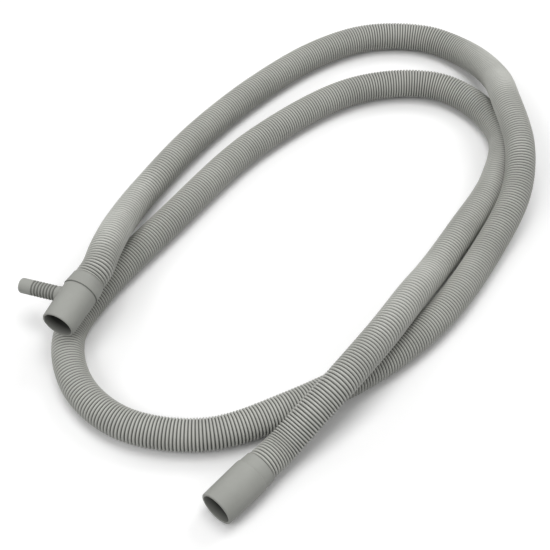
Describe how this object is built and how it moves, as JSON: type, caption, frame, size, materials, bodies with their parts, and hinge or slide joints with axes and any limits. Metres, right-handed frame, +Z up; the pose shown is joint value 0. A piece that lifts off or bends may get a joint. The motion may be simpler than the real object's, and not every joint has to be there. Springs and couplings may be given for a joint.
{
  "type": "washing machine drain hose",
  "caption": "Ribbed grey drain hose lying in a loose loop, with a plain straight cuff on the outlet end and a cuff with a small ribbed side branch on the machine end.",
  "frame": {"origin": "centre of the bottom of the bounding box, on the surface that the loop lies on", "axes": "+Y along the loop's long way, away from the cuffs, which both open towards -Y; +X to the right seen from the cuffs; +Z up"},
  "size_m": [0.2879, 0.5191, 0.0539],
  "materials": {
    "hose_plastic": "satin grey polypropylene",
    "cuff_plastic": "satin grey moulded plastic"
  },
  "bodies": {
    "root": {"hose": "hose_plastic", "outlet_cuff": "cuff_plastic", "machine_cuff": "cuff_plastic"}
  },
  "joints": []
}
